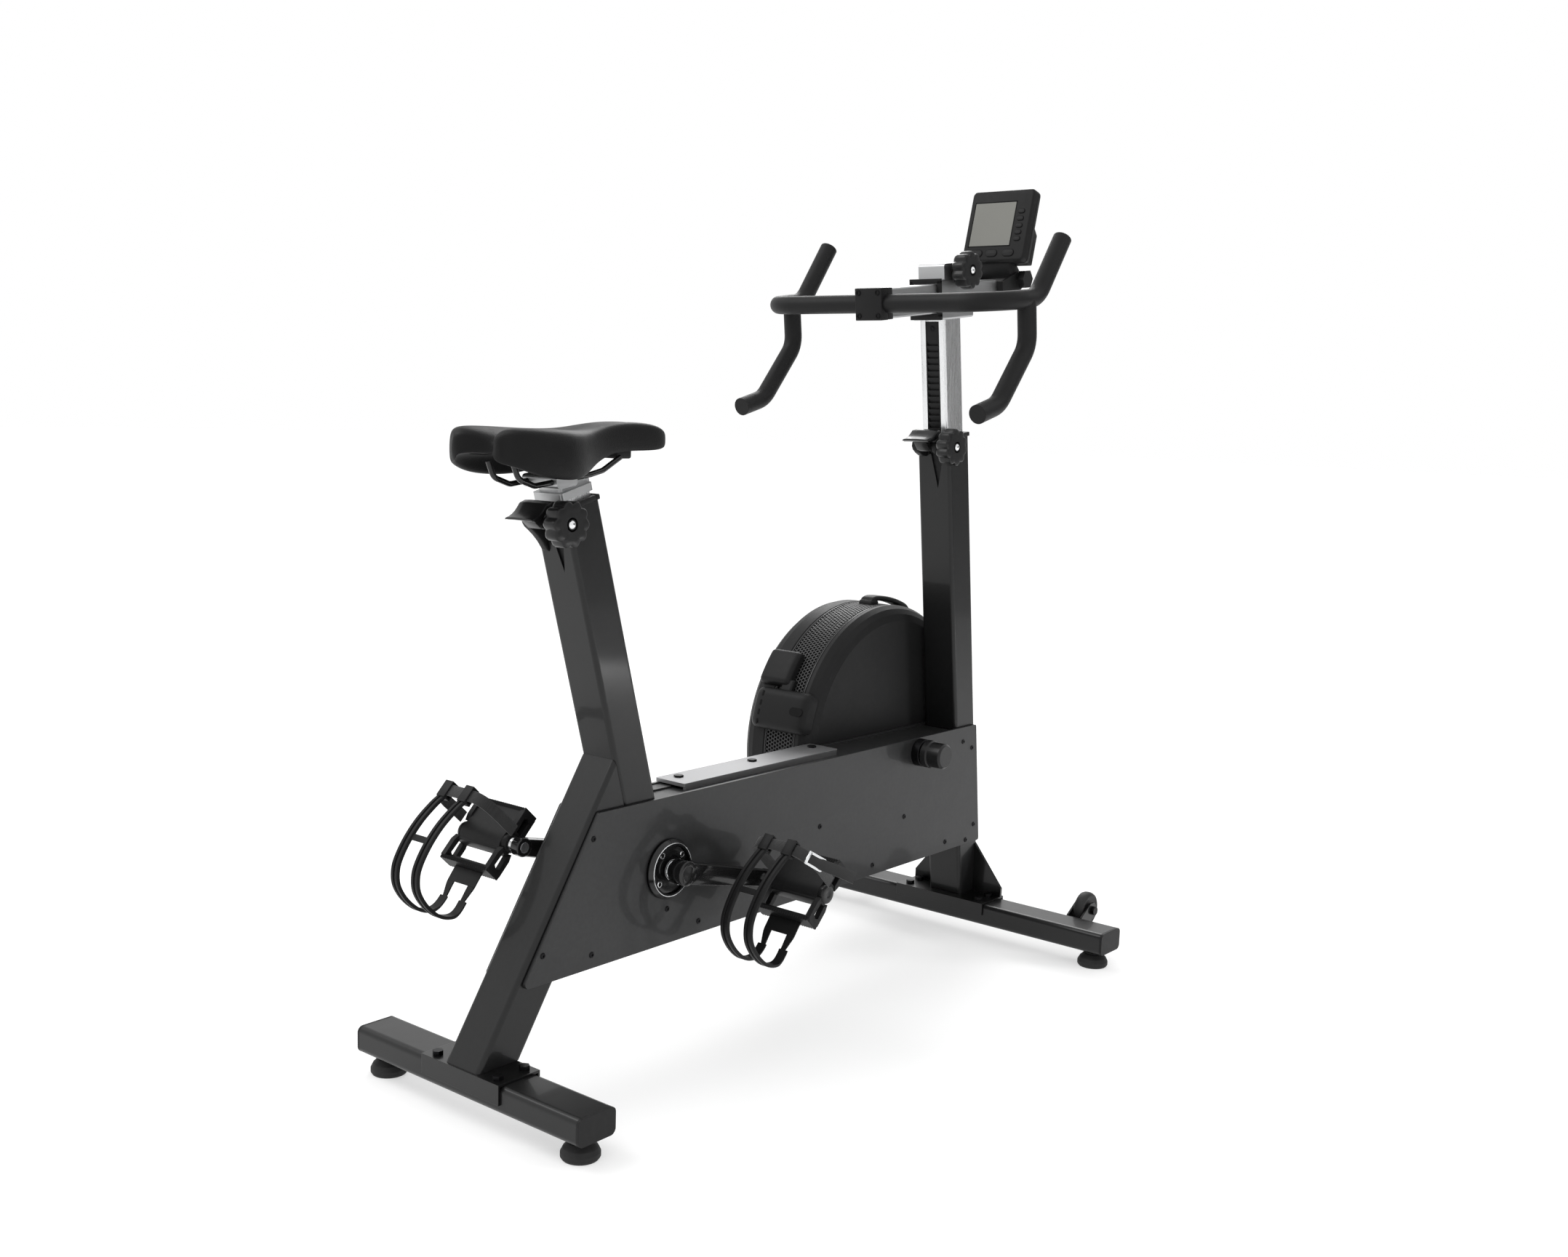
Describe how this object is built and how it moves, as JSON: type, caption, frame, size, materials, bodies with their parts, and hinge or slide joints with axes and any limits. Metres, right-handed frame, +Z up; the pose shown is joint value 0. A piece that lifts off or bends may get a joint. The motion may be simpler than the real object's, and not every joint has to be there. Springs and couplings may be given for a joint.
{
  "type": "air bike",
  "caption": "Upright air-resistance exercise bike with a side-mounted fan, toe-clip pedals, a height-adjustable saddle and handlebar, and a tilting display.",
  "frame": {"origin": "middle of the footprint, on the floor", "axes": "+X to the front of the bike, +Y to the rider's left, +Z up"},
  "size_m": [1.1616, 0.618, 1.239],
  "materials": {
    "bar_black": "dipped grip",
    "belt_rubber": "ribbed belt",
    "black_plastic": "moulded satin plastic",
    "bright_steel": "brushed",
    "crank_black": "satin black",
    "fan_steel": "black",
    "fastener_steel": "dark zinc",
    "foot_rubber": "rubber",
    "frame_paint": "satin powder coat",
    "gloss_black": "semi-gloss plastic",
    "key_plastic": "soft key",
    "plate_paint": "satin powder coat",
    "screen_glass": "lcd window",
    "seat_cover": "vinyl",
    "silver_paint": "silver paint",
    "strap_web": "webbing",
    "wheel_tread": "rubber"
  },
  "bodies": {
    "base": {"stabilisers": "frame_paint", "stabiliser_end_caps": "black_plastic", "levelling_feet": "foot_rubber", "stabiliser_brackets": "frame_paint", "rear_leg": "frame_paint", "seat_tube": "frame_paint", "mast_tube": "frame_paint", "right_side_plate": "plate_paint", "left_side_plate": "plate_paint", "beam_covers": "plate_paint", "top_cover": "silver_paint", "frame_fasteners": "fastener_steel", "bearing_units": "fastener_steel", "drive_belt": "belt_rubber", "fan_shell_inner": "black_plastic", "fan_shell_outer": "black_plastic", "fan_mesh_band": "fan_steel", "fan_handle": "black_plastic", "seat_latch_housing": "black_plastic", "mast_latch_housing": "black_plastic"},
    "crank": {"crank_spindle": "bright_steel", "crank_arm_right": "crank_black", "crank_arm_left": "crank_black", "pedal_axles": "bright_steel"},
    "right_pedal": {"pedal_right": "black_plastic", "toe_clip_right": "black_plastic", "toe_strap_right": "strap_web"},
    "left_pedal": {"pedal_left": "black_plastic", "toe_clip_left": "black_plastic", "toe_strap_left": "strap_web"},
    "fan": {"fan_wheel": "fan_steel", "fan_axle": "bright_steel"},
    "damper": {"damper_knob": "gloss_black"},
    "seat_column": {"seat_post": "bright_steel", "saddle_clamp": "silver_paint"},
    "saddle_carriage": {"saddle": "seat_cover", "saddle_rails": "crank_black"},
    "seat_latch_lever": {"seat_lever": "gloss_black"},
    "seat_latch_knob": {"seat_knob": "gloss_black"},
    "bar_column": {"handlebar_post": "bright_steel", "stem_collar": "silver_paint"},
    "mast_latch_lever": {"mast_lever": "gloss_black"},
    "mast_latch_knob": {"mast_knob": "gloss_black"},
    "stem_carriage": {"stem": "silver_paint", "bar_clamp": "black_plastic", "handlebar": "bar_black", "console_bracket": "frame_paint"},
    "stem_clamp_knob": {"stem_knob": "gloss_black"},
    "console": {"console_case": "black_plastic", "console_screen": "screen_glass"},
    "right_wheel": {"transport_wheel_right": "wheel_tread"},
    "left_wheel": {"transport_wheel_left": "wheel_tread"},
    "side_button_1_key": {"side_button_1": "key_plastic"},
    "side_button_2_key": {"side_button_2": "key_plastic"},
    "side_button_3_key": {"side_button_3": "key_plastic"},
    "side_button_4_key": {"side_button_4": "key_plastic"},
    "side_button_5_key": {"side_button_5": "key_plastic"},
    "base_button_1_key": {"base_button_1": "key_plastic"},
    "base_button_2_key": {"base_button_2": "key_plastic"},
    "base_button_3_key": {"base_button_3": "key_plastic"}
  },
  "joints": [
    {"name": "crank_spin", "type": "hinge", "parent": "base", "child": "crank", "pos_m": [-0.25775, 0, 0.259], "axis": [0, 1, 0], "continuous": true},
    {"name": "right_pedal_spin", "type": "hinge", "parent": "crank", "child": "right_pedal", "pos_m": [-0.09072, -0.132, 0.21797], "axis": [0, 1, 0], "continuous": true},
    {"name": "left_pedal_spin", "type": "hinge", "parent": "crank", "child": "left_pedal", "pos_m": [-0.42479, 0.132, 0.30003], "axis": [0, 1, 0], "continuous": true},
    {"name": "fan_spin", "type": "hinge", "parent": "base", "child": "fan", "pos_m": [0.34625, 0, 0.337], "axis": [0, 1, 0], "continuous": true},
    {"name": "damper_turn", "type": "hinge", "parent": "base", "child": "damper", "pos_m": [0.32225, -0.06, 0.334], "axis": [0, 1, 0], "range_deg": [-135, 135]},
    {"name": "seat_height", "type": "slide", "parent": "base", "child": "seat_column", "axis": [-0.274, 0, 0.9617], "range_m": [0, 0.2]},
    {"name": "saddle_slide", "type": "slide", "parent": "seat_column", "child": "saddle_carriage", "axis": [0.9905, 0, 0.1374], "range_m": [-0.015, 0.015]},
    {"name": "seat_lever_lift", "type": "hinge", "parent": "base", "child": "seat_latch_lever", "pos_m": [-0.46055, 0, 0.72658], "axis": [0, 1, 0], "range_deg": [0, 35], "stiffness_Nm_per_rad": 0.4},
    {"name": "seat_knob_turn", "type": "hinge", "parent": "base", "child": "seat_latch_knob", "pos_m": [-0.46055, -0.045, 0.72658], "axis": [0, 1, 0], "range_deg": [0, 540]},
    {"name": "handlebar_height", "type": "slide", "parent": "base", "child": "bar_column", "axis": [-0.1207, 0, 0.9927], "range_m": [-0.17, 0.05]},
    {"name": "mast_lever_lift", "type": "hinge", "parent": "base", "child": "mast_latch_lever", "pos_m": [0.36002, 0, 0.81928], "axis": [0, 1, 0], "range_deg": [0, 35], "stiffness_Nm_per_rad": 0.4},
    {"name": "mast_knob_turn", "type": "hinge", "parent": "base", "child": "mast_latch_knob", "pos_m": [0.36002, -0.045, 0.81928], "axis": [0, 1, 0], "range_deg": [0, 540]},
    {"name": "stem_reach", "type": "slide", "parent": "bar_column", "child": "stem_carriage", "axis": [0.9927, 0, 0.1207], "range_m": [-0.06, 0.06]},
    {"name": "stem_knob_turn", "type": "hinge", "parent": "bar_column", "child": "stem_clamp_knob", "pos_m": [0.38155, -0.045, 1.09388], "axis": [0, 1, 0], "range_deg": [0, 540]},
    {"name": "console_tilt", "type": "hinge", "parent": "stem_carriage", "child": "console", "pos_m": [0.56525, 0, 1.0946], "axis": [0, 1, 0], "range_deg": [-20, 20]},
    {"name": "side_button_1_press", "type": "slide", "parent": "console", "child": "side_button_1_key", "axis": [0.9701, 0, -0.2426], "range_m": [0, 0.0012], "stiffness_N_per_m": 800},
    {"name": "side_button_2_press", "type": "slide", "parent": "console", "child": "side_button_2_key", "axis": [0.9701, 0, -0.2426], "range_m": [0, 0.0012], "stiffness_N_per_m": 800},
    {"name": "side_button_3_press", "type": "slide", "parent": "console", "child": "side_button_3_key", "axis": [0.9701, 0, -0.2426], "range_m": [0, 0.0012], "stiffness_N_per_m": 800},
    {"name": "side_button_4_press", "type": "slide", "parent": "console", "child": "side_button_4_key", "axis": [0.9701, 0, -0.2426], "range_m": [0, 0.0012], "stiffness_N_per_m": 800},
    {"name": "side_button_5_press", "type": "slide", "parent": "console", "child": "side_button_5_key", "axis": [0.9701, 0, -0.2426], "range_m": [0, 0.0012], "stiffness_N_per_m": 800},
    {"name": "base_button_1_press", "type": "slide", "parent": "console", "child": "base_button_1_key", "axis": [0.9701, 0, -0.2426], "range_m": [0, 0.0012], "stiffness_N_per_m": 800},
    {"name": "base_button_2_press", "type": "slide", "parent": "console", "child": "base_button_2_key", "axis": [0.9701, 0, -0.2426], "range_m": [0, 0.0012], "stiffness_N_per_m": 800},
    {"name": "base_button_3_press", "type": "slide", "parent": "console", "child": "base_button_3_key", "axis": [0.9701, 0, -0.2426], "range_m": [0, 0.0012], "stiffness_N_per_m": 800},
    {"name": "right_wheel_spin", "type": "hinge", "parent": "base", "child": "right_wheel", "pos_m": [0.55225, -0.225, 0.066], "axis": [0, 1, 0], "continuous": true},
    {"name": "left_wheel_spin", "type": "hinge", "parent": "base", "child": "left_wheel", "pos_m": [0.55225, 0.225, 0.066], "axis": [0, 1, 0], "continuous": true}
  ],
  "couplings": [
    {"joint": "fan_spin", "follows": "crank_spin", "ratio": 7.1429}
  ]
}
